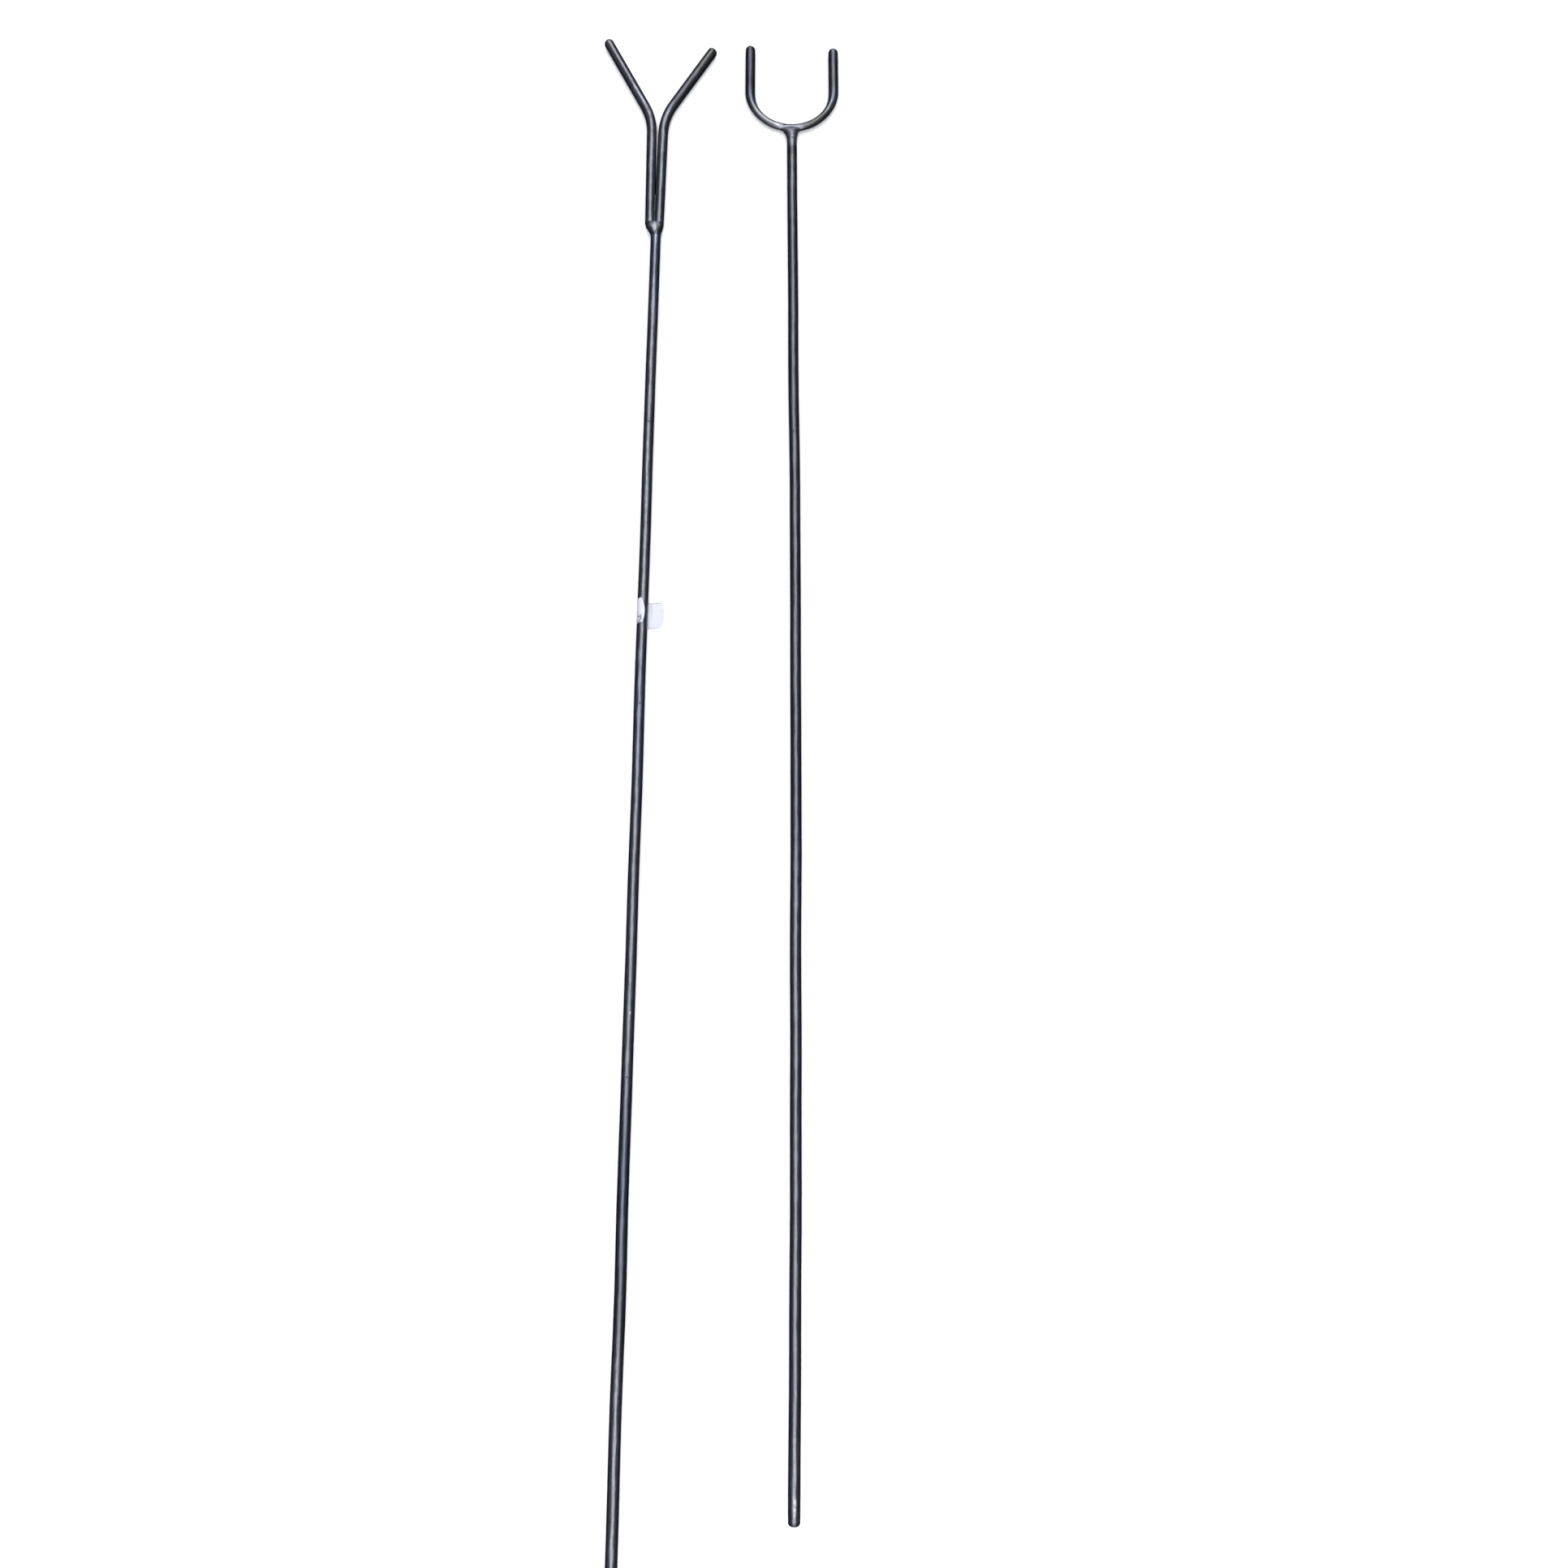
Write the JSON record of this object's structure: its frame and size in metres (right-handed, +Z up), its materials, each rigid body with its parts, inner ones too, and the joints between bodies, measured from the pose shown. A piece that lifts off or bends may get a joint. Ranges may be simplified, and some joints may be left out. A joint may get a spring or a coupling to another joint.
{
  "type": "driveway snow marker pair",
  "caption": "Hand-welded forked steel driveway marker stakes lying side by side: a U-headed stake, and a Y-headed stake with a paper price label.",
  "frame": {"origin": "middle of the pair's outline, on the surface the markers lie on", "axes": "+Y along the stems towards the forked heads, +X from the Y-headed marker to the U-headed one, +Z up from the surface"},
  "size_m": [0.3107, 1.9514, 0.0138],
  "materials": {
    "bar_steel": "hot-rolled mill scale, dark blue-grey, patchy satin",
    "weld_steel": "as-welded, rippled, dark grey with heat tint",
    "label_paper": "matt self-adhesive paper, slightly soiled"
  },
  "bodies": {
    "u_marker": {"u_stem": "bar_steel", "u_fork": "bar_steel", "u_saddle_weld": "weld_steel"},
    "y_marker": {"y_stem": "bar_steel", "y_left_prong": "bar_steel", "y_right_prong": "bar_steel", "y_neck_weld": "weld_steel", "y_front_seam_weld": "weld_steel", "y_back_seam_weld": "weld_steel", "price_label": "label_paper"}
  },
  "joints": [
    {"name": "y_marker_lift", "type": "slide", "parent": "u_marker", "child": "y_marker", "axis": [0, 0, 1], "range_m": [0, 0.2]}
  ]
}
